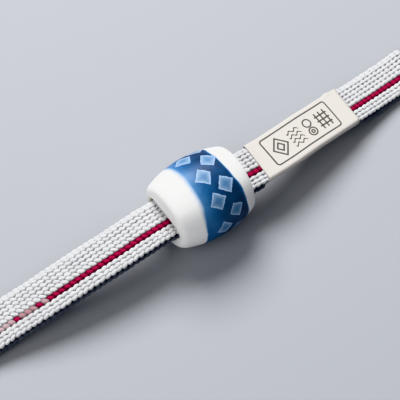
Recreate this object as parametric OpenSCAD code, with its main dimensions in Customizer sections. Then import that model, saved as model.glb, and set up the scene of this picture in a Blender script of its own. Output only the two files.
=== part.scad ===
// Barrel bead of glazed porcelain on a flat woven cord, with a paper band round the cord.
// Millimetres. The bead stands on z = 0 with its middle above the origin, the cord runs along X.

/* [Bead] */
// Diameter of the barrel at its middle
bead_d = 17; // [17:0.5:20]
// Length of the barrel, along the cord
bead_l = 17.2; // [16.4:0.2:18]
// Radius of the barrel's long outward curve
barrel_r = 21; // [20:1:40]
// Radius that rounds the barrel into its two end faces
shoulder_r = 1.6; // [1.4:0.1:1.7]

/* [Slot] */
// Width of the slot that the flat cord goes through
slot_w = 9.8; // [9.6:0.1:9.8]
// Height of the slot
slot_h = 3.2; // [3:0.1:3.4]
// Radius of the rounded lip at each mouth of the slot
lip_r = 0.6; // [0.3:0.1:0.6]

/* [Cord] */
// Width of the flat woven cord
cord_w = 9; // [8:0.1:9.2]
// Thickness of the cord, which is two layers of weave
cord_t = 2.6; // [2.2:0.1:2.7]
// Radius that rounds the cord's four long corners
cord_corner = 0.9; // [0.8:0.1:1]

/* [Paper band] */
// Where the band starts, along X from the middle of the bead
band_start = 13.2; // [12:0.1:14]
// Length of the band along X
band_l = 25.1; // [22:0.1:27]
// Thickness of the paper
paper_t = 0.2; // [0.15:0.05:0.3]
// Room between the cord and the paper
paper_gap = 0.1; // [0.1:0.02:0.2]
// Radius of the paper's folds, on the inside
fold_r = 0.3; // [0.2:0.1:0.6]
// Slant of the band's two cut edges: how far they lean along the cord for each mm across it
band_slant = 0.06; // [0:0.01:0.25]

/* [Hidden] */
$fn = 96;

// The slot is level with the bead's middle
mid_z = bead_d / 2;

// Middle line of the cord from its near end to its far end: along X, across Y, height.
// It lies on the surface at both ends, rises to the slot and swings a little sideways past the bead.
route = [
    [-64, 1.2, 1.3], [-60, 1.2, 1.3], [-56, 1.15, 1.4], [-50, 1.05, 2.1], [-44, 0.8, 3.5],
    [-36, 0.2, 5.4], [-28, -0.1, 7], [-20, -0.2, 7.95], [-12, 0, 8.45], [0, 0, 8.45],
    [8, 0, 8.45], [14, 0.05, 8.2], [20, 0.6, 7.55], [26, 1.6, 6.4], [32, 2.6, 5],
    [38, 3.6, 3.6], [44, 4.5, 2.3], [49, 5.2, 1.5], [54, 5.65, 1.3], [58, 6.1, 1.3]
];
last_point = len(route) - 1;
rings_per_step = 3;

// Index of the stretch of the route that holds x
function stretch_at(x, i = 0) = i >= last_point - 1 || x < route[i + 1][0] ? i : stretch_at(x, i + 1);

// Slope of the route at one of its points: level with X at both ends, elsewhere through its neighbours
function slope_at(i) = i == 0 || i == last_point
    ? [0, 0]
    : [for (k = [1, 2]) (route[i + 1][k] - route[i - 1][k]) / (route[i + 1][0] - route[i - 1][0])];

// Cubic curve between two values a and b with slopes p and q, over a stretch of length h
function cubic(a, b, p, q, h, t) =
    a * (2 * t * t * t - 3 * t * t + 1) + p * h * (t * t * t - 2 * t * t + t)
    + b * (3 * t * t - 2 * t * t * t) + q * h * (t * t * t - t * t);

// Point of the cord's middle line at x, never lower than a cord that lies flat on the surface
function route_at(x) =
    let (i = stretch_at(x), a = route[i], b = route[i + 1], p = slope_at(i), q = slope_at(i + 1))
    let (h = b[0] - a[0], t = (x - a[0]) / h)
    [x, cubic(a[1], b[1], p[0], q[0], h, t), max(cubic(a[2], b[2], p[1], q[1], h, t), cord_t / 2)];

function unit(v) = v / norm(v);

// Directions at x: along the cord, level across it, and out of its face
function along_at(x) =
    unit(route_at(min(x + 0.5, route[last_point][0])) - route_at(max(x - 0.5, route[0][0])));
function across_at(x) = let (d = along_at(x)) unit([-d[1], d[0], 0]);
function face_at(x) = cross(along_at(x), across_at(x));

// Flat section with rounded corners: points as [across, out of the face], from the upper right corner on
corner_steps = 3;
function section(w, t, r) = [for (corner = [0 : 3], k = [0 : corner_steps])
    let (a = 90 - 90 * corner - 90 * k / corner_steps)
    let (side = corner < 2 ? 1 : -1, face = corner == 0 || corner == 3 ? 1 : -1)
    [side * (w / 2 - r) + r * cos(a), face * (t / 2 - r) + r * sin(a)]];

// One ring of points round the cord at x; slant moves each point along the cord by its place across it
function ring(x, shape, slant) = [for (s = shape)
    let (px = x + slant * s[0]) route_at(px) + across_at(px) * s[0] + face_at(px) * s[1]];

// The two triangles of a four-sided face
function two_triangles(a, b, c, d) = [[a, b, c], [a, c, d]];

// Triangles that join each ring of n points to the next
function side_faces(n, rings, first, turned) = [for (r = [0 : rings - 2], i = [0 : n - 1])
    let (a = first + r * n + i, b = first + r * n + (i + 1) % n)
    each turned ? two_triangles(b, a, a + n, b + n) : two_triangles(a, b, b + n, a + n)];

// Triangles that close a cut edge between a ring of the outer skin and the same ring of the inner skin
function rim_faces(n, outer, inner, turned) = [for (i = [0 : n - 1])
    let (j = (i + 1) % n)
    each turned
        ? two_triangles(outer + i, outer + j, inner + j, inner + i)
        : two_triangles(outer + j, outer + i, inner + i, inner + j)];

// Half outline of the barrel in [distance from the axis, along the axis], cut from circles:
// the long curve, the two shoulders that touch it from inside, and the core behind them
module barrel_outline() {
    curve_x = bead_d / 2 - barrel_r;
    shoulder_y = bead_l / 2 - shoulder_r;
    shoulder_x = curve_x + sqrt(pow(barrel_r - shoulder_r, 2) - pow(shoulder_y, 2));
    touch_y = shoulder_y * barrel_r / (barrel_r - shoulder_r);
    intersection() {
        translate([curve_x, 0])
            circle(r = barrel_r, $fn = 360);
        translate([0, -touch_y])
            square([bead_d, 2 * touch_y]);
    }
    for (end = [-1, 1])
        translate([shoulder_x, end * shoulder_y])
            circle(r = shoulder_r);
    translate([0, -bead_l / 2])
        square([shoulder_x, bead_l]);
}

// Flat hole with round ends through the whole barrel, along Z here
module slot() {
    round_c = (slot_w - slot_h) / 2;
    reach = bead_l + 2;
    translate([-slot_h / 2, -round_c, -reach / 2])
        cube([slot_h, 2 * round_c, reach]);
    for (side = [-1, 1])
        translate([0, side * round_c, -reach / 2])
            cylinder(d = slot_h, h = reach);
}

// Profile of the room that a rounded lip leaves: [out from the slot's middle, up to the end face]
module lip_profile() {
    difference() {
        square([slot_h / 2 + lip_r, lip_r]);
        translate([slot_h / 2 + lip_r, 0])
            circle(r = lip_r);
    }
}

// Widened mouth of the slot, which rounds its lip, with its wide side at z = lip_r
module slot_mouth() {
    round_c = (slot_w - slot_h) / 2;
    for (side = [-1, 1])
        translate([0, side * round_c, 0])
            rotate_extrude()
                lip_profile();
    for (half = [0, 180])
        rotate([0, 0, half])
            translate([0, round_c, 0])
                rotate([90, 0, 0])
                    linear_extrude(2 * round_c)
                        lip_profile();
}

module bead() {
    color("steelblue")
        translate([0, 0, mid_z])
            rotate([0, 90, 0])
                difference() {
                    rotate_extrude($fn = 180)
                        barrel_outline();
                    slot();
                    for (end = [0, 180])
                        rotate([0, end, 0])
                            translate([0, 0, bead_l / 2 - lip_r])
                                slot_mouth();
                }
}

module cord() {
    shape = section(cord_w, cord_t, cord_corner);
    n = len(shape);
    stations = [for (i = [0 : last_point - 1], k = [0 : rings_per_step - 1])
        route[i][0] + (route[i + 1][0] - route[i][0]) * k / rings_per_step];
    places = concat(stations, [route[last_point][0]]);
    points = [for (x = places) each ring(x, shape, 0)];
    rings = len(places);
    color("whitesmoke")
        polyhedron(points, concat(
            side_faces(n, rings, 0, false),
            [[for (i = [n - 1 : -1 : 0]) i]],
            [[for (i = [0 : n - 1]) (rings - 1) * n + i]]));
}

module paper_band() {
    band_rings = 12;
    skin_w = cord_w + 2 * paper_gap;
    skin_t = cord_t + 2 * paper_gap;
    inner = section(skin_w, skin_t, fold_r);
    outer = section(skin_w + 2 * paper_t, skin_t + 2 * paper_t, fold_r + paper_t);
    n = len(inner);
    places = [for (i = [0 : band_rings - 1]) band_start + band_l * i / (band_rings - 1)];
    points = concat(
        [for (x = places) each ring(x, outer, band_slant)],
        [for (x = places) each ring(x, inner, band_slant)]);
    inside = n * band_rings;
    end = n * (band_rings - 1);
    color("ivory")
        polyhedron(points, concat(
            side_faces(n, band_rings, 0, false),
            side_faces(n, band_rings, inside, true),
            rim_faces(n, 0, inside, false),
            rim_faces(n, end, inside + end, true)));
}

bead();
cord();
paper_band();
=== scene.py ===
# %% [markdown]
# A glazed porcelain bead on a flat woven cord, with a paper band round the cord. This lesson dresses
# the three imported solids. The construction gives their sizes and places, and nothing here moves or
# resizes them: the cord gets its woven floats, the bead its glaze and painted lattice, and the band
# its paper. The real object is small, so its sizes are written in millimetres and turned into
# Blender's metres where they are used.

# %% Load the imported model
import math
import random

import bmesh
import bpy
import numpy as np
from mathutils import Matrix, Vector


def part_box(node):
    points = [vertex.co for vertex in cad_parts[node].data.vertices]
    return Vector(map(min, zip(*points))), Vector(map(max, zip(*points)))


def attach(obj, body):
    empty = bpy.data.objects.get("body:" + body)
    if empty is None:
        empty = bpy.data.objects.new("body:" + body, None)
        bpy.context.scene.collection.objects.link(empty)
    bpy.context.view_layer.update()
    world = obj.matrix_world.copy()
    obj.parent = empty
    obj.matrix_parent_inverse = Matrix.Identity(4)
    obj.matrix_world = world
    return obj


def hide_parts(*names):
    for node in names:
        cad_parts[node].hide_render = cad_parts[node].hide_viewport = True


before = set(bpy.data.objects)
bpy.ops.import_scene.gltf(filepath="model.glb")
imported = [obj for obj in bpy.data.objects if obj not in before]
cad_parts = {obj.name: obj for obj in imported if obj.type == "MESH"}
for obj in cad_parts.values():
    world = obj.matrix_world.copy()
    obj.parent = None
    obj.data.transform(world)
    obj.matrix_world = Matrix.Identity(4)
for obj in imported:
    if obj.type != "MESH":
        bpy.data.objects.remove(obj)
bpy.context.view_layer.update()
MM = 0.001
print("nodes:", sorted(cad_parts))

# %% [markdown]
# The camera. The photograph was taken from above, over the near end of the cord, with a long lens.
# The long lens matters: a short one would make the near end of the cord look much wider than the
# far end. The lens follows from how many pixels one millimetre of the bead covers in a frame of 400
# pixels, and the aim from the pixel that the bead's middle falls on.

# %% Camera
CAMERA_AZIMUTH = math.radians(-34.6)
CAMERA_ELEVATION = math.radians(57.5)
CAMERA_DISTANCE = 335 * MM
PIXELS_PER_MM = 5.14
FRAME_PIXELS = 400
BEAD_PIXEL_X = 200.8
BEAD_PIXEL_Y = 197.2

bead_low, bead_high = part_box("bead")
bead_middle = (bead_low + bead_high) / 2

camera_back = Vector((
    math.sin(CAMERA_AZIMUTH) * math.cos(CAMERA_ELEVATION),
    -math.cos(CAMERA_AZIMUTH) * math.cos(CAMERA_ELEVATION),
    math.sin(CAMERA_ELEVATION),
))
camera_right = Vector((math.cos(CAMERA_AZIMUTH), math.sin(CAMERA_AZIMUTH), 0))
camera_up = camera_back.cross(camera_right)
frame_middle = FRAME_PIXELS / 2
aim = (
    bead_middle
    - camera_right * ((BEAD_PIXEL_X - frame_middle) / PIXELS_PER_MM * MM)
    + camera_up * ((BEAD_PIXEL_Y - frame_middle) / PIXELS_PER_MM * MM)
)

camera_data = bpy.data.cameras.new("camera")
camera_data.sensor_width = 36
focal_pixels = PIXELS_PER_MM * CAMERA_DISTANCE / MM
camera_data.lens = camera_data.sensor_width * focal_pixels / FRAME_PIXELS
camera_data.clip_start = 10 * MM
camera_data.clip_end = 10
camera = bpy.data.objects.new("camera", camera_data)
bpy.context.collection.objects.link(camera)
camera.location = aim + camera_back * CAMERA_DISTANCE
camera.rotation_mode = "QUATERNION"
camera.rotation_quaternion = (-camera_back).to_track_quat("-Z", "Y")
bpy.context.scene.camera = camera
print(f"lens {camera_data.lens:.0f} mm")

# %% [markdown]
# The route of the cord. It is the construction's own list of points, in millimetres: the cord lies on
# the surface at both ends, rises to the bead's slot and swings a little sideways past the bead. A
# smooth cubic joins the points, with the slope at each one taken from its two neighbours.

# %% Route of the cord
ROUTE = np.array([
    (-64, 1.2, 1.3), (-60, 1.2, 1.3), (-56, 1.15, 1.4), (-50, 1.05, 2.1), (-44, 0.8, 3.5),
    (-36, 0.2, 5.4), (-28, -0.1, 7), (-20, -0.2, 7.95), (-12, 0, 8.45), (0, 0, 8.45),
    (8, 0, 8.45), (14, 0.05, 8.2), (20, 0.6, 7.55), (26, 1.6, 6.4), (32, 2.6, 5),
    (38, 3.6, 3.6), (44, 4.5, 2.3), (49, 5.2, 1.5), (54, 5.65, 1.3), (58, 6.1, 1.3),
])
CORD_WIDTH = 9.0
CORD_THICKNESS = 2.6
ROUTE_STEP = 0.1


def route_at(x):
    """Points of the cord's middle line at the values of x, never lower than a cord that lies flat."""
    slopes = np.zeros((len(ROUTE), 2))
    slopes[1:-1] = (ROUTE[2:, 1:] - ROUTE[:-2, 1:]) / (ROUTE[2:, :1] - ROUTE[:-2, :1])
    i = np.clip(np.searchsorted(ROUTE[:, 0], x, side="right") - 1, 0, len(ROUTE) - 2)
    h = (ROUTE[i + 1, 0] - ROUTE[i, 0])[:, None]
    t = (x[:, None] - ROUTE[i, :1]) / h
    sideways_and_up = (
        ROUTE[i, 1:] * (2 * t**3 - 3 * t**2 + 1) + slopes[i] * h * (t**3 - 2 * t**2 + t)
        + ROUTE[i + 1, 1:] * (3 * t**2 - 2 * t**3) + slopes[i + 1] * h * (t**3 - t**2)
    )
    line = np.column_stack([x, sideways_and_up])
    line[:, 2] = np.maximum(line[:, 2], CORD_THICKNESS / 2)
    return line


route_x = np.linspace(ROUTE[0, 0], ROUTE[-1, 0], round((ROUTE[-1, 0] - ROUTE[0, 0]) / ROUTE_STEP) + 1)
route_line = route_at(route_x)
route_walk = np.concatenate(([0], np.cumsum(np.linalg.norm(np.diff(route_line, axis=0), axis=1))))
route_walk -= np.interp(0, route_x, route_walk)
near_end, far_end = route_walk[0], route_walk[-1]
print(f"cord {far_end - near_end:.1f} mm long: {-near_end:.1f} mm on the near side of the bead's "
      f"middle and {far_end:.1f} mm past it")

# %% [markdown]
# Everything on the cord is first made straight and flat, as [along, across, out of the face], and
# then bent onto the route by one function. The cord stays level across its width, which is how a
# flat cord lies when nothing twists it.

# %% Bend a straight cord onto its route
along_route = np.gradient(route_line, axis=0)
along_route /= np.linalg.norm(along_route, axis=1)[:, None]
across_route = np.column_stack([-along_route[:, 1], along_route[:, 0], np.zeros(len(along_route))])
across_route /= np.linalg.norm(across_route, axis=1)[:, None]
face_route = np.cross(along_route, across_route)


def on_route(straight):
    """Points in metres for rows of [along, across, out of the face] in millimetres."""
    straight = np.asarray(straight, float)
    middle, across, face = (
        np.column_stack([np.interp(straight[:, 0], route_walk, table[:, k]) for k in range(3)])
        for table in (route_line, across_route, face_route)
    )
    return (middle + across * straight[:, 1:2] + face * straight[:, 2:3]) * MM


# %% [markdown]
# The woven cord. On the real one each float is a short bundle of silk that comes up between two
# picks, swells, and goes down again. The white face has ten columns of them, and one column is
# dyed crimson. The navy back is a second layer, and its edge shows under the white one as a dark row.
# A texture could fake this, but the scalloped edge and the dark pits between four floats are what
# the eye reads as weaving. So each float is real: one small dome with a flat top and steep flanks,
# shaped once from a grid and repeated along the columns of a short table.

# %% One float
FLOAT_PITCH = 1.25
FLOAT_HEIGHT = 0.44
FLOAT_SINK = 0.14
FLOAT_LENGTH = 1.34
FLOAT_WIDTH = 1.2
DOME_CORNERS = 1.7
TOP_FLATNESS = 3.0


def float_dome(cuts_along, cuts_across):
    """Points [-1..1 along, -1..1 across, 0..1 up] and the faces of one dome."""
    bm = bmesh.new()
    bmesh.ops.create_grid(bm, x_segments=cuts_along, y_segments=cuts_across, size=1)
    for v in bm.verts:
        along, across = v.co.x, v.co.y
        out = max(abs(along), abs(across))
        rim = (abs(along) ** DOME_CORNERS + abs(across) ** DOME_CORNERS) ** (1 / DOME_CORNERS) or 1
        out = math.sin(out * math.pi / 2)
        v.co = (along / rim * out, across / rim * out, math.sqrt(max(0, 1 - out**TOP_FLATNESS)))
    points = np.array([v.co for v in bm.verts])
    faces = np.array([[v.index for v in f.verts] for f in bm.faces])
    bm.free()
    return points, faces


fine_dome = float_dome(8, 6)
plain_dome = float_dome(6, 4)
print(f"a float has {len(fine_dome[1])} faces on the front and {len(plain_dome[1])} on the back")

# %% [markdown]
# The table of columns. Each row says where a column of floats runs on the cord's section: across
# it, out of its face, how far its floats lean over towards the near edge, how much they slant to the
# cord, how wide they are, and which yarn they are. The slant turns round past the crimson column,
# and that column is the widest. The face's floats lie like shingles, each a little lower on its near
# side. Down each side wall runs one navy row, the edge of the back, with a dark groove above it.

# %% Columns of floats
WHITE_YARN, NAVY_YARN, WHITE_CORE, NAVY_CORE = 0, 1, 2, 3
CRIMSON_COLUMN = -1.6
FACE_HEIGHT = 1.0
SHINGLE = 6
BACK_COLUMNS, BACK_PITCH = 8, 0.9

columns = [
    (3.94, 0.80, -38, -8, 1.0, WHITE_YARN),
    (3.25, FACE_HEIGHT, SHINGLE, -9, 0.90, WHITE_YARN),
    (2.37, FACE_HEIGHT, SHINGLE, -9, 0.90, WHITE_YARN),
    (1.44, FACE_HEIGHT, SHINGLE, -9, 0.92, WHITE_YARN),
    (0.50, FACE_HEIGHT, SHINGLE, -9, 0.95, WHITE_YARN),
    (-0.47, FACE_HEIGHT, SHINGLE, -16, 1.00, WHITE_YARN),
    (CRIMSON_COLUMN, FACE_HEIGHT, SHINGLE, -12, 1.14, WHITE_YARN),
    (-2.66, FACE_HEIGHT, SHINGLE, 7, 0.90, WHITE_YARN),
    (-3.58, FACE_HEIGHT - 0.02, 8, 7, 0.92, WHITE_YARN),
    (-4.27, 0.74, 17, 9, 0.92, WHITE_YARN),
]
for side in (-1, 1):
    columns.append((side * 4.44, -0.76, -side * 74, 0, 0.86, NAVY_YARN))
    columns.append((side * 3.95, -1.0, -side * 142, 8, 0.9, NAVY_YARN))
for k in range(BACK_COLUMNS):
    place = (k - (BACK_COLUMNS - 1) / 2) * BACK_PITCH
    columns.append((place, -FACE_HEIGHT, 180, 8, BACK_PITCH, NAVY_YARN))
print(len(columns), "columns of floats")

# %% [markdown]
# The dye of one float: 0 is white, 1 is crimson. Only one column of the face is crimson. Towards the
# near end its dye has run out: the column turns a blotchy pink there, and two single floats in that
# pale stretch are out of order and strong.

# %% Dye of a float
DYE_ENDS = -36.2
PALE_DYE = 0.58
STRONG_FLOATS = (-37.9, -42.7)


def dye_of(across, height, along, chance):
    if height < 0 or abs(across - CRIMSON_COLUMN) > 0.1:
        return 0
    strong = along > DYE_ENDS or any(abs(along - place) < FLOAT_PITCH / 2 for place in STRONG_FLOATS)
    return 1 if strong else PALE_DYE * chance.uniform(0.8, 1.2)


# %% [markdown]
# The floats of one run, from the bead's middle to a free end. For every column and every pick the
# dome is scaled, skewed, leaned over and set on the section. The skew goes both ways: a float's
# middle line slants, and its two ends are cut on a slant too, as on a strand that dives under its
# neighbour. A little seeded chance in size, place and slant keeps the weave from looking stamped.
# Three numbers stay with each float for its material: its dye, its tone, and how far each point
# rises out of the weave.

# %% Lay out the floats of one run
END_SKEW = 0.2
FAR_SLANT = 0.3


def lay_floats(end, chance):
    """Straight points, faces, yarn of each face, and per point: place in the float, dye, tone, rise."""
    last_reach = (FLOAT_LENGTH - 1) / 2
    picks = round(abs(end) / FLOAT_PITCH - last_reach)
    pitch = abs(end) / (picks + last_reach)
    slanted = 1 if end < 0 else FAR_SLANT
    points, faces, yarns, places, marks = [], [], [], [], []
    count = 0
    for across, height, lean, slant, width, yarn in columns:
        dome, quads = plain_dome if lean == 180 else fine_dome
        tip = math.radians(lean)
        for pick in range(picks):
            along = math.copysign((pick + 0.5) * pitch, end)
            rise = math.tan(math.radians(slant * slanted + chance.uniform(-5, 5)))
            end_skew = math.copysign(END_SKEW * slanted, slant) if slant else 0
            a = dome[:, 0] * pitch * FLOAT_LENGTH / 2 * chance.uniform(0.94, 1.05)
            c = dome[:, 1] * FLOAT_WIDTH / 2 * width * chance.uniform(0.92, 1.05)
            h = dome[:, 2] * FLOAT_HEIGHT * chance.uniform(0.88, 1.06) - FLOAT_SINK
            skewed = c + a * rise + chance.uniform(-0.03, 0.03)
            points.append(np.column_stack([
                along + a + c * end_skew + chance.uniform(-0.04, 0.04),
                across + skewed * math.cos(tip) - h * math.sin(tip),
                height + skewed * math.sin(tip) + h * math.cos(tip),
            ]))
            faces.append(quads + count)
            yarns += [yarn] * len(quads)
            places.append(np.column_stack([a, c]) + chance.uniform(0, 40))
            dye, tone = dye_of(across, height, along, chance), chance.random()
            marks.append(np.column_stack([
                np.full(len(dome), dye), np.full(len(dome), tone), dome[:, 2]
            ]))
            count += len(dome)
    return np.concatenate(points), np.concatenate(faces), yarns, np.concatenate(places), np.concatenate(marks)


# %% [markdown]
# The core under the floats closes the cord. It starts as a circle, is pulled to the flat rounded
# section, and is extruded from the bead's middle to the end. Its edge and back are navy. It shows only
# in the pits between the floats, and its colours are much darker than the yarns': a painted shade of those
# pits.

# %% Core of one run
CORE_STEP = 1.6
CORE_ACROSS = 4.1
CORE_HEIGHT = 0.96
CORE_FLATNESS = 0.42
WHITE_ABOVE = 0.5


def core_mesh(end):
    bm = bmesh.new()
    bmesh.ops.create_circle(bm, segments=32, radius=1)
    for v in bm.verts:
        across, height = v.co.x, v.co.y
        v.co = (
            0,
            CORE_ACROSS * math.copysign(abs(across) ** CORE_FLATNESS, across),
            CORE_HEIGHT * math.copysign(abs(height) ** CORE_FLATNESS, height),
        )
    edges = list(bm.edges)
    stretches = round(abs(end) / CORE_STEP)
    for k in range(stretches):
        made = bmesh.ops.extrude_edge_only(bm, edges=edges)["geom"]
        edges = [g for g in made if isinstance(g, bmesh.types.BMEdge)]
        for g in made:
            if isinstance(g, bmesh.types.BMVert):
                g.co.x = end * (k + 1) / stretches
    bmesh.ops.holes_fill(bm, edges=[e for e in bm.edges if e.is_boundary])
    bmesh.ops.recalc_face_normals(bm, faces=bm.faces)
    return bm


# %% [markdown]
# The paper band is wrapped tight, so the cord's lower edges are drawn in under it. One function
# pinches straight points where the band holds them, the cord's and later the band's own, and lets go
# over a short stretch outside the band's ends.

# %% Pinch under the band
BAND_START = 13.2
BAND_LENGTH = 25.1
PINCH = 0.18
PINCH_BELOW = 0.8
PINCH_FADES = 1.6

band_walk = np.interp([BAND_START, BAND_START + BAND_LENGTH], route_x, route_walk)


def smooth(t):
    t = np.clip(t, 0, 1)
    return t * t * (3 - 2 * t)


def pinch(straight):
    inside = np.minimum(straight[:, 0] - band_walk[0], band_walk[1] - straight[:, 0])
    low = smooth((PINCH_BELOW - straight[:, 2]) / (PINCH_BELOW + CORD_THICKNESS / 2))
    straight[:, 1] *= 1 - PINCH * low * smooth(inside / PINCH_FADES + 1)
    return straight


# %% [markdown]
# The last stretch of a run is pressed thinner, which is how the end of such a cord is sealed before
# it is cut. Then floats and core become one mesh, bent onto the route. The two runs are two pieces,
# because the cord leaves the bead twice and each run lies loose by itself.

# %% Build both runs
END_PRESS = 2.4
END_THIN = 0.5


def press_end(straight, end):
    left = np.clip(np.abs(end - straight[:, 0]) / END_PRESS, 0, 1)
    swell = END_THIN + (1 - END_THIN) * np.sqrt(left * (2 - left))
    straight[:, 2] = straight[:, 2] * swell - CORD_THICKNESS / 2 * (1 - swell) * 0.9
    return straight


def new_piece(name, mesh):
    piece = bpy.data.objects.new(name, mesh)
    bpy.context.collection.objects.link(piece)
    return piece


def cord_run(name, end, seed):
    points, quads, yarns, places, marks = lay_floats(end, random.Random(seed))
    core = core_mesh(end)
    core_points = np.array([v.co for v in core.verts])
    core_faces = [[v.index + len(points) for v in f.verts] for f in core.faces]
    core_yarns = [
        WHITE_CORE if f.calc_center_median().z > WHITE_ABOVE else NAVY_CORE for f in core.faces
    ]
    core.free()

    mesh = bpy.data.meshes.new(name)
    straight = pinch(press_end(np.concatenate([points, core_points]), end))
    mesh.from_pydata(on_route(straight).tolist(), [], quads.tolist() + core_faces)
    mesh.polygons.foreach_set("material_index", yarns + core_yarns)
    mesh.polygons.foreach_set("use_smooth", [True] * len(mesh.polygons))
    blank = np.zeros((len(core_points), 3))
    for k, mark in enumerate(("dye", "tone", "rise")):
        layer = mesh.attributes.new(mark, "FLOAT", "POINT")
        layer.data.foreach_set("value", np.concatenate([marks, blank])[:, k])
    corners = np.empty(len(mesh.loops), int)
    mesh.loops.foreach_get("vertex_index", corners)
    flat = np.concatenate([places, core_points[:, :2]])
    mesh.uv_layers.new(name="yarn").data.foreach_set("uv", flat[corners].ravel())
    print(f"{name}: {abs(end):.1f} mm, {sum(len(p.vertices) - 2 for p in mesh.polygons)} triangles")
    return new_piece(name, mesh)


near_run = cord_run("cord_near_run", near_end, 11)
far_run = cord_run("cord_far_run", far_end, 23)
for run in (near_run, far_run):
    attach(run, "root")
    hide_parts("cord")

# %% [markdown]
# The paper band is a strip of thin paper, wrapped round the cord and glued to itself underneath. A
# flat grid is the strip: one way runs along the cord, the other way round it. Each vertex moves to
# its place round the cord, and Solidify gives the paper its thickness. The strip was put on a
# little askew and the cord bends under it, so its far cut edge leans more than the near one. One
# corner of the far fold stands up a little, where the paper was creased twice.

# %% Paper band
BAND_SLANTS = (0.06, 0.24)
PAPER = 0.14
PAPER_GAP = 0.05
PAPER_ASIDE = 0.12
FOLD = 0.5
CREASE_AT = 23.3
CREASE = 0.3
GLUED_FLAP = 3.0
BAND_CUTS_ALONG = 44
BAND_CUTS_ROUND = 200

skin_width = CORD_WIDTH + 0.2
skin_thickness = CORD_THICKNESS + 2 * PAPER_GAP
face_half = skin_width / 2 - FOLD
side_half = skin_thickness / 2 - FOLD
fold_walk = FOLD * math.pi / 2
skin_round = 4 * (face_half + fold_walk + side_half)


def sleeve_place(walk, outwards):
    """[across, out of the face] at a distance round the sleeve from the middle of its face."""
    walk = (walk + skin_round / 2) % skin_round - skin_round / 2
    side, under = math.copysign(1, walk), abs(walk) > skin_round / 4
    walk = skin_round / 2 - abs(walk) if under else abs(walk)
    turn = min(max(walk - face_half, 0) / FOLD, math.pi / 2)
    down = max(walk - face_half - fold_walk, 0)
    across = min(walk, face_half) + (FOLD + outwards) * math.sin(turn)
    out = side_half - down + (FOLD + outwards) * math.cos(turn)
    return side * across, -out if under else out


band_length = band_walk[1] - band_walk[0]
bm = bmesh.new()
bmesh.ops.create_grid(bm, x_segments=BAND_CUTS_ALONG, y_segments=BAND_CUTS_ROUND, size=0.5)
strip = bm.loops.layers.uv.new("strip")
strip_round = skin_round + GLUED_FLAP
places = {v: ((v.co.x + 0.5) * band_length, v.co.y * strip_round + GLUED_FLAP / 2) for v in bm.verts}
for face in bm.faces:
    face.smooth = True
    for corner in face.loops:
        corner[strip].uv = places[corner.vert]
straight = []
for v, (along, walk) in places.items():
    lift = min(1, max(0, (walk - skin_round / 2 + GLUED_FLAP * 0.3) / (GLUED_FLAP * 0.3))) * (PAPER + 0.03)
    ripple = 0.02 * math.sin(along * 0.9 + walk * 0.4) + 0.015 * math.sin(along * 0.37 - walk * 0.8)
    from_crease = math.hypot((along - CREASE_AT) / 0.7, (walk - face_half - fold_walk / 2) / 0.6)
    crease = CREASE * math.exp(-(from_crease**2))
    across, out = sleeve_place(walk, lift + ripple + crease + 0.02)
    slant = BAND_SLANTS[0] + (BAND_SLANTS[1] - BAND_SLANTS[0]) * along / band_length
    straight.append((band_walk[0] + along + slant * across, across - PAPER_ASIDE, out))
for v, place in zip(places, on_route(pinch(np.array(straight)))):
    v.co = place
band_mesh = bpy.data.meshes.new("paper_band_sleeve")
bm.to_mesh(band_mesh)
bm.free()
paper_band = new_piece("paper_band_sleeve", band_mesh)
thickness = paper_band.modifiers.new("paper", "SOLIDIFY")
thickness.thickness = PAPER * MM
thickness.offset = 1
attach(paper_band, "root")
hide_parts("paper_band")
print(f"paper strip {band_length:.1f} mm by {strip_round:.1f} mm")

# %% [markdown]
# The band rides on the run past the bead; like both runs, it hangs on the root body.


# %% [markdown]
# The bead is one turned and slotted form. Its outer side is a long shallow curve that two small
# shoulders round into the end faces, and a flat slot runs through it with rounded lips. One loop of
# points is extruded over the whole form: out of the slot, over a lip, across the end face, along the
# barrel and back through the slot. Each ring says how far it is on the way from the slot's outline
# to a circle, so one rule draws both.

# %% Rings of the bead
BEAD_LENGTH = 17.2
BEAD_RADIUS = 8.5
BARREL_CURVE = 21
SHOULDER = 1.6
SLOT_WIDTH = 9.8
SLOT_HEIGHT = 3.2
LIP = 0.6
LIP_RINGS, FACE_RINGS, SHOULDER_RINGS, BARREL_RINGS, TUNNEL_RINGS = 6, 6, 8, 56, 8

curve_middle = BEAD_RADIUS - BARREL_CURVE
shoulder_x = BEAD_LENGTH / 2 - SHOULDER
face_radius = curve_middle + math.sqrt((BARREL_CURVE - SHOULDER) ** 2 - shoulder_x**2)
touch = math.atan2(shoulder_x, face_radius - curve_middle)

rings = []
for k in range(LIP_RINGS + 1):
    turn = math.pi / 2 * k / LIP_RINGS
    rings.append((BEAD_LENGTH / 2 - LIP * (1 - math.sin(turn)), LIP * (1 - math.cos(turn)), 0, 0))
for k in range(1, FACE_RINGS + 1):
    rings.append((BEAD_LENGTH / 2, LIP, k / FACE_RINGS, face_radius))
for k in range(1, SHOULDER_RINGS + 1):
    turn = math.pi / 2 + (touch - math.pi / 2) * k / SHOULDER_RINGS
    rings.append((shoulder_x + SHOULDER * math.sin(turn), 0, 1, face_radius + SHOULDER * math.cos(turn)))
touch_x = BARREL_CURVE * math.sin(touch)
for k in range(1, BARREL_RINGS // 2):
    x = touch_x * (1 - 2 * k / BARREL_RINGS)
    rings.append((x, 0, 1, curve_middle + math.sqrt(BARREL_CURVE**2 - x**2)))
half = list(rings)
rings.append((0, 0, 1, BEAD_RADIUS))
rings += [(-x, grow, share, radius) for x, grow, share, radius in reversed(half)]
tunnel = BEAD_LENGTH / 2 - LIP
rings += [(tunnel * (2 * k / TUNNEL_RINGS - 1), 0, 0, 0) for k in range(1, TUNNEL_RINGS + 1)]
print(f"{len(rings)} rings, end face {2 * face_radius:.1f} mm across")

# %% Extrude the bead
BEAD_POINTS = 240


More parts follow.
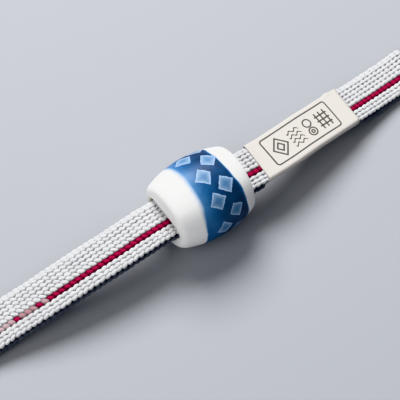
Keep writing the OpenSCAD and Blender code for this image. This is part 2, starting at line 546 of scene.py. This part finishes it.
def slot_reach(turn, grow):
    """Distance from the slot's middle to its wall in one direction, with the wall set back by grow."""
    straight = (SLOT_WIDTH - SLOT_HEIGHT) / 2
    radius = SLOT_HEIGHT / 2 + grow
    up, aside = abs(math.cos(turn)), abs(math.sin(turn))
    if radius * aside <= straight * up:
        return radius / up
    return straight * aside + math.sqrt(radius**2 - (straight * up) ** 2)


def shape_ring(verts, x, grow, share, radius):
    for v in verts:
        turn = math.atan2(v.co.y, v.co.z)
        reach = (1 - share) * slot_reach(turn, grow) + share * radius
        v.co = (x, reach * math.sin(turn), reach * math.cos(turn))


bm = bmesh.new()
first = bmesh.ops.create_circle(bm, segments=BEAD_POINTS, radius=1)["verts"]
for v in first:
    v.co = (0, v.co.x, v.co.y)
shape_ring(first, *rings[0])
edges = list(bm.edges)
for ring in rings[1:]:
    made = bmesh.ops.extrude_edge_only(bm, edges=edges)["geom"]
    edges = [g for g in made if isinstance(g, bmesh.types.BMEdge)]
    shape_ring([g for g in made if isinstance(g, bmesh.types.BMVert)], *ring)
bmesh.ops.remove_doubles(bm, verts=bm.verts, dist=0.001)
bmesh.ops.recalc_face_normals(bm, faces=bm.faces)
print(f"bead {bm.calc_volume(signed=True) / 1000:.2f} cm3, {len(bm.faces)} faces, "
      f"{sum(e.is_boundary for e in bm.edges)} open edges")

# %% [markdown]
# The painted squares. They stand on their corners in two staggered rings of nine, scratched through
# the blue by hand, so none is quite square, and the first one stands aside of its ring. Painting them by mesh edges would need a very fine mesh.
# Instead every face gets the local coordinates of its nearest square in a UV map, in
# millimetres from that square's middle, and the material draws the outline from those. A second map
# carries how that square is cut askew.

# %% Squares on the glaze
SQUARE_RINGS = (
    {"x": -0.1, "first": 38, "gaps": (44, 38, 45, 39, 40, 38, 38, 38)},
    {"x": 3.1, "first": 14.5, "gaps": (43, 40, 42, 38, 39, 40, 39, 40)},
)
SQUARE_TURN = math.radians(-38)
SQUARE_SHEAR = 0.07
ARC_RADIUS = 8.4

chance = random.Random(5)
squares = []
for ring in SQUARE_RINGS:
    for k in range(len(ring["gaps"]) + 1):
        squares.append({
            "x": ring["x"] + chance.uniform(-0.12, 0.12),
            "turn": math.radians(ring["first"] - sum(ring["gaps"][:k])),
            "slant": SQUARE_TURN + math.radians(chance.uniform(-4, 4)),
            "size": chance.uniform(0.95, 1.06),
            "taper": chance.uniform(-0.09, 0.09),
            "skew": chance.uniform(-0.09, 0.09),
        })
squares[0]["x"] -= 0.5


def around(turn):
    """An angle brought between -180 and 180 degrees."""
    return (turn + math.pi) % (2 * math.pi) - math.pi


def nearest_square(x, turn):
    return min(
        squares,
        key=lambda s: math.hypot(x - s["x"], ARC_RADIUS * around(turn - s["turn"])),
    )


def square_place(square, x, turn):
    """Millimetres from the middle of a square along its own two sides."""
    along, arc = x - square["x"], ARC_RADIUS * around(turn - square["turn"])
    c, s = math.cos(square["slant"]), math.sin(square["slant"])
    u, v = along * c + arc * s, -along * s + arc * c
    return (u + SQUARE_SHEAR * v) / square["size"], v / square["size"]


square_map = bm.loops.layers.uv.new("square")
cut_map = bm.loops.layers.uv.new("cut")
inside = bm.verts.layers.float.new("inside")
for v in bm.verts:
    depth = BEAD_LENGTH / 2 - abs(v.co.x)
    reach = math.hypot(v.co.y, v.co.z)
    slot_wall = slot_reach(math.atan2(v.co.y, v.co.z), 0)
    v[inside] = min(1, max(0, 1 - (reach - slot_wall) / LIP)) if reach < face_radius else 0
for face in bm.faces:
    face.smooth = True
    middle = face.calc_center_median()
    square = nearest_square(middle.x, math.atan2(middle.y, middle.z))
    for corner in face.loops:
        x, y, z = corner.vert.co
        corner[square_map].uv = square_place(square, x, math.atan2(y, z))
        corner[cut_map].uv = (square["taper"], square["skew"])

bmesh.ops.scale(bm, vec=(MM, MM, MM), verts=bm.verts)
bmesh.ops.translate(bm, vec=bead_middle, verts=bm.verts)
bead_mesh = bpy.data.meshes.new("bead_glazed")
bm.to_mesh(bead_mesh)
bm.free()
bead = new_piece("bead_glazed", bead_mesh)
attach(bead, "root")
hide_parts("bead")
print(len(squares), "painted squares")

# %% [markdown]
# The materials are node trees. A few short helpers make a node, wire its inputs and give back its
# output, so that a material reads like a recipe. What is the same all over a surface is set on the
# shader itself.

# %% Helpers for materials
def new_material(name, settings):
    made = bpy.data.materials.new(name)
    made.use_nodes = True
    shader = made.node_tree.nodes["Principled BSDF"]
    for socket, value in settings.items():
        shader.inputs[socket].default_value = value
    return made, made.node_tree, shader


def add(tree, kind, inputs=(), **settings):
    """A node with its settings, its inputs wired or set by number, and its first output given back."""
    made = tree.nodes.new("ShaderNode" + kind)
    for key, value in settings.items():
        setattr(made, key, value)
    for k, value in dict(inputs).items():
        if isinstance(value, bpy.types.NodeSocket):
            tree.links.new(value, made.inputs[k])
        else:
            made.inputs[k].default_value = value
    return made.outputs[0]


def maths(tree, operation, *values):
    return add(tree, "Math", enumerate(values), operation=operation)


def step(tree, value, low, high, to_low=0, to_high=1):
    """A smooth step of a value from low to high."""
    return add(
        tree, "MapRange", {0: value, 1: low, 2: high, 3: to_low, 4: to_high},
        interpolation_type="SMOOTHSTEP",
    )


def blend(tree, factor, a, b, how="MIX"):
    """Colour a turned into colour b by a factor."""
    made = add(tree, "Mix", {0: factor, 6: a, 7: b}, data_type="RGBA", blend_type=how)
    return made.node.outputs[2]


def noise(tree, place, size, detail=2, roughness=0.5):
    """Soft noise from 0 to 1, with blotches of a size in the unit of the place."""
    return add(tree, "TexNoise", {0: place, 2: 1 / size, 3: detail, 4: roughness})


def ramp(tree, factor, stops):
    made = add(tree, "ValToRGB", {0: factor}).node
    while len(made.color_ramp.elements) < len(stops):
        made.color_ramp.elements.new(0.5)
    for element, (position, colour) in zip(made.color_ramp.elements, stops):
        element.position, element.color = position, colour
    return made.outputs[0]


def relief(tree, shader, height, depth):
    """Wire a height from 0 to 1 into the shader as a bump of a depth in millimetres."""
    bump = add(tree, "Bump", {"Height": height, "Distance": depth * MM, "Strength": 1})
    tree.links.new(bump, shader.inputs["Normal"])


def colour(red, green, blue):
    """A colour as it looks on a screen, from 0 to 255, as the linear values that a shader takes."""
    linear = [
        c / 12.92 if c <= 0.04045 else ((c + 0.055) / 1.055) ** 2.4
        for c in (red / 255, green / 255, blue / 255)
    ]
    return (*linear, 1)


# %% [markdown]
# Silk yarn. Every float keeps its own tone, so that neighbours differ a little. Where it goes down
# into the weave its colour turns darker, a painted shade of the pits. Fine fibres run along the float
# and twist slightly, and break up its surface. The crimson floats take their colour from the dye mark,
# and are painted darker at their ragged ends, where they go down into the weave: painted shade too.

# %% Silk yarn
def silk(name, light, float_pit_shade, dyed, dyed_pit_shade):
    made, tree, shader = new_material(name, {
        "Roughness": 0.6, "Specular IOR Level": 0.06,
    })
    mark = {k: add(tree, "Attribute", attribute_name=k).node.outputs["Fac"] for k in ("dye", "tone", "rise")}
    place = add(tree, "UVMap", uv_map="yarn")
    fibres = add(tree, "Mapping", {0: place, 2: (0, 0, 0.25), 3: (1, 9, 1)})
    strands = noise(tree, fibres, 0.5, 3, 0.6)
    # Low on each float the colour turns to the darker one: painted shade of the pits.
    high = step(tree, mark["rise"], 0.0, 0.8)
    ragged = maths(tree, "ADD", mark["rise"], maths(tree, "MULTIPLY", strands, 0.9))
    tone = maths(tree, "ADD", maths(tree, "MULTIPLY", mark["tone"], 0.6), maths(tree, "MULTIPLY", strands, 0.4))
    plain = blend(tree, tone, light[0], light[1])
    plain = blend(tree, high, float_pit_shade, plain)
    # The crimson turns to its darker colour low on the float, with a ragged border: painted shade.
    red = blend(tree, step(tree, ragged, 1.0, 1.5), dyed_pit_shade, dyed)
    tree.links.new(blend(tree, mark["dye"], plain, red), shader.inputs["Base Color"])
    relief(tree, shader, strands, 0.04)
    return made


STRIPE_HALF = 0.58


# The core's colours are darker than the yarns': painted shade for the pits between the floats.
def core_yarn(name, base, stripe):
    made, tree, shader = new_material(name, {"Roughness": 0.85, "Specular IOR Level": 0.1})
    place = add(tree, "UVMap", uv_map="yarn")
    along, across, _ = add(tree, "SeparateXYZ", {0: place}).node.outputs
    beside = maths(tree, "ABSOLUTE", maths(tree, "SUBTRACT", across, CRIMSON_COLUMN))
    striped = step(tree, beside, STRIPE_HALF, STRIPE_HALF + 0.1, 1, 0)
    striped = maths(tree, "MULTIPLY", striped, step(tree, along, DYE_ENDS - 0.4, DYE_ENDS, 0.25, 1))
    speckle = noise(tree, place, 0.4)
    shade = blend(tree, maths(tree, "MULTIPLY", speckle, 0.4), base, (0, 0, 0, 1))
    tree.links.new(blend(tree, striped, shade, stripe), shader.inputs["Base Color"])
    relief(tree, shader, speckle, 0.1)
    return made


yarn_materials = [
    # In each silk the third and fifth colours are painted shade for where the floats go down into the weave.
    silk("silk_white", (colour(189, 189, 192), colour(208, 208, 208)), colour(151, 151, 153),
         colour(152, 30, 64), colour(80, 14, 32)),
    silk("silk_navy", (colour(84, 87, 98), colour(110, 113, 122)), colour(38, 40, 49),
         colour(84, 87, 98), colour(38, 40, 49)),
    # Both cores are much darker than their yarns: painted shade for the pits between the floats.
    core_yarn("core_white", colour(112, 111, 112), colour(66, 4, 20)),
    core_yarn("core_navy", colour(22, 24, 32), colour(22, 24, 32)),
]
for run in (near_run, far_run):
    for made in yarn_materials:
        run.data.materials.append(made)
print("yarns:", [made.name for made in yarn_materials])

# %% [markdown]
# The glaze. Under it the porcelain is a warm white, and a band of cobalt is sprayed on by hand: its
# two edges wander, its near edge is softer on top than on the sides, and its colour is thin there
# and gets deep towards the far edge. High on the bead the spray starts paler than lower down, which
# is painted light from above. The squares are drawn on top from their own coordinates: a pale line
# and a paler blue inside it, deepest in the middle. A fired glaze is smooth with a soft gloss, so the relief is
# slight.

# %% Porcelain and cobalt
BAND_FROM_BELOW, BAND_FROM_ON_TOP = -3.95, -3.3
BAND_TO_IN_FRONT, BAND_TO_BEHIND = 5.95, 4.65
SQUARE_HALF = 1.36
LINE = 0.3

glaze, tree, shader = new_material("porcelain_glaze", {
    "Roughness": 0.45, "Specular IOR Level": 0.15, "Coat Weight": 0.03, "Coat Roughness": 0.25,
    "Subsurface Weight": 0.06, "Subsurface Scale": 1.0 * MM,
})
place = add(tree, "TexCoord").node.outputs["Object"]
x, y, z = (maths(tree, "MULTIPLY", part, 1 / MM) for part in add(tree, "SeparateXYZ", {0: place}).node.outputs)
wander = maths(tree, "MULTIPLY", maths(tree, "SUBTRACT", noise(tree, place, 5 * MM, 2), 0.5), 0.9)
x = maths(tree, "ADD", x, wander)
past_near_edge = maths(tree, "SUBTRACT", x, step(tree, z, 12.5, 16.5, BAND_FROM_BELOW, BAND_FROM_ON_TOP))
softness = step(tree, z, 8, 17, 0.25, 0.8)
past_far_edge = maths(tree, "SUBTRACT", x, step(tree, y, -8.5, 2, BAND_TO_IN_FRONT, BAND_TO_BEHIND))
edges_of_band = maths(
    tree, "MULTIPLY",
    step(tree, maths(tree, "DIVIDE", past_near_edge, softness), -1, 1),
    step(tree, past_far_edge, -0.35, 0.3, 1, 0),
)
# The spray starts paler high on the bead and deeper lower down: painted light from above.
painted_light_on_top = step(tree, z, 7, 15, 0.8, 0.57)
spray = maths(tree, "MULTIPLY", edges_of_band, step(tree, x, BAND_FROM_BELOW, 2.2, painted_light_on_top, 1))
clouds = noise(tree, place, 4 * MM, 3)
depth = maths(tree, "MULTIPLY", spray, step(tree, clouds, 0.25, 0.75, 0.82, 1.0))
cobalt = ramp(tree, depth, [
    (0.0, colour(238, 237, 235)),
    (0.2, colour(192, 204, 220)),
    (0.45, colour(84, 130, 176)),
    (0.7, colour(42, 86, 133)),
    (1.0, colour(26, 37, 63)),
])

square = add(tree, "SeparateXYZ", {0: add(tree, "UVMap", uv_map="square")}).node
cut = add(tree, "SeparateXYZ", {0: add(tree, "UVMap", uv_map="cut")}).node
shake = noise(tree, place, 0.9 * MM, 1)
shake = maths(tree, "MULTIPLY", maths(tree, "SUBTRACT", shake, 0.5), 0.35)
sides = []
for own, other, askew in ((0, 1, 0), (1, 0, 1)):
    narrowed = maths(tree, "MULTIPLY", square.outputs[other], cut.outputs[askew])
    sides.append(maths(tree, "ADD", maths(tree, "ABSOLUTE", square.outputs[own]), narrowed))
outside = maths(tree, "ADD", maths(tree, "MAXIMUM", *sides), shake)
outside = maths(tree, "SUBTRACT", outside, SQUARE_HALF)
filled = step(tree, outside, -0.08, 0.08, 1, 0)
inner = step(tree, outside, -LINE - 0.1, -LINE + 0.1, 1, 0)
line = maths(tree, "SUBTRACT", filled, inner)
middle = step(tree, outside, -1.1, -LINE, 1, 0)
hatch = add(tree, "Mapping", {0: add(tree, "UVMap", uv_map="square"), 3: (1, 6, 1)})
hatch = noise(tree, hatch, 0.5, 2)

shade = maths(tree, "ADD", maths(tree, "MULTIPLY", middle, 0.6), maths(tree, "MULTIPLY", hatch, 0.4))
wash = blend(tree, shade, colour(128, 156, 184), colour(70, 114, 158))
painted = blend(tree, inner, cobalt, wash)
pale = blend(tree, hatch, colour(128, 162, 204), colour(174, 198, 226))
painted = blend(tree, line, painted, pale)
warm = add(tree, "Attribute", attribute_name="inside").node.outputs["Fac"]
painted = blend(tree, maths(tree, "MULTIPLY", warm, 0.85), painted, colour(204, 190, 160))
tree.links.new(painted, shader.inputs["Base Color"])
orange_peel = noise(tree, place, 1.6 * MM, 2)
height = maths(tree, "ADD", maths(tree, "MULTIPLY", orange_peel, 0.6), maths(tree, "MULTIPLY", line, 0.4))
relief(tree, shader, height, 0.05)
bead.data.materials.append(glaze)

# %% [markdown]
# The paper is uncoated and cream, with short pressed fibres. Its print is a plain pattern in a frame
# with round corners: a lozenge, waves, two rings and a small grille, all of one thin line. Each is
# drawn by its distance from the strip's own coordinates, so no picture is needed and the line stays
# equally thick.

# %% Paper
FRAME_MIDDLE = (12.25, 0.1)
FRAME_HALF = (9.2, 3.4)
FRAME_CORNER = 0.6
PRINT_LINE = 0.19
LOZENGE = (6.2, 0.0, 1.9, 2.3)
WAVES = (10.6, (1.6, 0.5, -0.6, -1.7), 1.6, 0.28, 1.6)
RINGS = ((14.6, 1.15, 0.95), (14.6, -1.15, 0.95), (14.6, -1.15, 0.35))
GRILLE = (18.6, (-1.2, 0.0, 1.2), 2.0)

paper, tree, shader = new_material("cream_paper", {"Roughness": 0.8, "Specular IOR Level": 0.15})
strip = add(tree, "UVMap", uv_map="strip")
strip_x, strip_y, _ = add(tree, "SeparateXYZ", {0: strip}).node.outputs


def from_line(value, place):
    """How far a value is from a place, without its sign."""
    return maths(tree, "ABSOLUTE", maths(tree, "SUBTRACT", value, place))


def box_distance(x, y, half_x, half_y, corner):
    """Signed distance from a box with round corners."""
    offsets = [
        maths(tree, "SUBTRACT", from_line(strip_x, x), half_x - corner),
        maths(tree, "SUBTRACT", from_line(strip_y, y), half_y - corner),
    ]
    squares_out = [maths(tree, "POWER", maths(tree, "MAXIMUM", offset, 0), 2) for offset in offsets]
    inside = maths(tree, "MINIMUM", maths(tree, "MAXIMUM", *offsets), 0)
    reach = maths(tree, "ADD", maths(tree, "SQRT", maths(tree, "ADD", *squares_out)), inside)
    return maths(tree, "SUBTRACT", reach, corner)


strokes = [maths(tree, "ABSOLUTE", box_distance(*FRAME_MIDDLE, *FRAME_HALF, FRAME_CORNER))]
x, y, half_x, half_y = LOZENGE
reach = maths(
    tree, "ADD", maths(tree, "DIVIDE", from_line(strip_x, x), half_x),
    maths(tree, "DIVIDE", from_line(strip_y, y), half_y),
)
for size in (0.45, 1):
    strokes.append(maths(tree, "MULTIPLY", from_line(reach, size), 1.4))
x, heights, half, swing, pace = WAVES
wave = maths(tree, "MULTIPLY", maths(tree, "SINE", maths(tree, "MULTIPLY", strip_x, 2 * math.pi / pace)), swing)
beyond = maths(tree, "MAXIMUM", maths(tree, "SUBTRACT", from_line(strip_x, x), half), 0)
for height in heights:
    gap = from_line(maths(tree, "SUBTRACT", strip_y, wave), height)
    strokes.append(maths(tree, "ADD", gap, beyond))
for x, y, radius in RINGS:
    from_middle = maths(
        tree, "SQRT", maths(
            tree, "ADD", maths(tree, "POWER", from_line(strip_x, x), 2),
            maths(tree, "POWER", from_line(strip_y, y), 2),
        )
    )
    strokes.append(from_line(from_middle, radius))
x, bars, half = GRILLE
for bar in bars:
    strokes.append(maths(tree, "ABSOLUTE", box_distance(x + bar, 0, 0.02, half, 0.01)))
    strokes.append(maths(tree, "ABSOLUTE", box_distance(x, bar, 1.6, 0.02, 0.01)))
nearest = strokes[0]
for stroke in strokes[1:]:
    nearest = maths(tree, "MINIMUM", nearest, stroke)
fibres = noise(tree, add(tree, "Mapping", {0: strip, 3: (1, 2.5, 1)}), 0.5, 4, 0.6)
ragged = maths(tree, "ADD", nearest, maths(tree, "MULTIPLY", maths(tree, "SUBTRACT", fibres, 0.5), 0.08))
ink = step(tree, ragged, PRINT_LINE / 2, PRINT_LINE * 1.4, 1, 0)
patchy = maths(tree, "MULTIPLY", ink, step(tree, fibres, 0.2, 0.5, 0.7, 0.95))
mottled = blend(tree, fibres, colour(192, 187, 181), colour(206, 201, 195))
tree.links.new(blend(tree, patchy, mottled, colour(62, 60, 54)), shader.inputs["Base Color"])
relief(tree, shader, fibres, 0.03)
paper_band.data.materials.append(paper)
print(len(strokes), "printed strokes")

# %% [markdown]
# The floor is a plain pale sheet and the light is a plain studio. One soft lamp stands behind the
# object, so the shadows fall towards the camera and to the right as in the photograph. A second,
# larger and weaker one stands to the left of the camera. It lights what the first one leaves dark:
# the bead's near end and the near edge of the cord.

# %% Floor and light
floor_bm = bmesh.new()
bmesh.ops.create_grid(floor_bm, x_segments=1, y_segments=1, size=2)
bmesh.ops.translate(floor_bm, vec=(0, 0, -0.1 * MM), verts=floor_bm.verts)
floor_mesh = bpy.data.meshes.new("floor")
floor_bm.to_mesh(floor_mesh)
floor_bm.free()
floor = new_piece("floor", floor_mesh)
floor_material, tree, shader = new_material("floor_paper", {
    "Roughness": 0.9, "Specular IOR Level": 0.1, "Base Color": colour(158, 160, 165),
})
floor.data.materials.append(floor_material)


def soft_lamp(name, azimuth, elevation, distance, size, energy):
    azimuth, elevation = math.radians(azimuth), math.radians(elevation)
    way = Vector((
        math.sin(azimuth) * math.cos(elevation), math.cos(azimuth) * math.cos(elevation), math.sin(elevation),
    ))
    data = bpy.data.lights.new(name, "AREA")
    data.shape = "DISK"
    data.size = size
    data.energy = energy
    lamp = bpy.data.objects.new(name, data)
    bpy.context.collection.objects.link(lamp)
    lamp.location = way * distance
    lamp.rotation_mode = "QUATERNION"
    lamp.rotation_quaternion = (-way).to_track_quat("-Z", "Y")


soft_lamp("key", azimuth=18, elevation=54, distance=0.7, size=0.44, energy=8.6)
soft_lamp("fill", azimuth=-105, elevation=38, distance=0.9, size=0.8, energy=5)

world = bpy.data.worlds.new("studio")
bpy.context.scene.world = world
world.use_nodes = True
world.node_tree.nodes["Background"].inputs["Color"].default_value = colour(206, 214, 226)
world.node_tree.nodes["Background"].inputs["Strength"].default_value = 0.18
bpy.context.scene.view_settings.view_transform = "Khronos PBR Neutral"
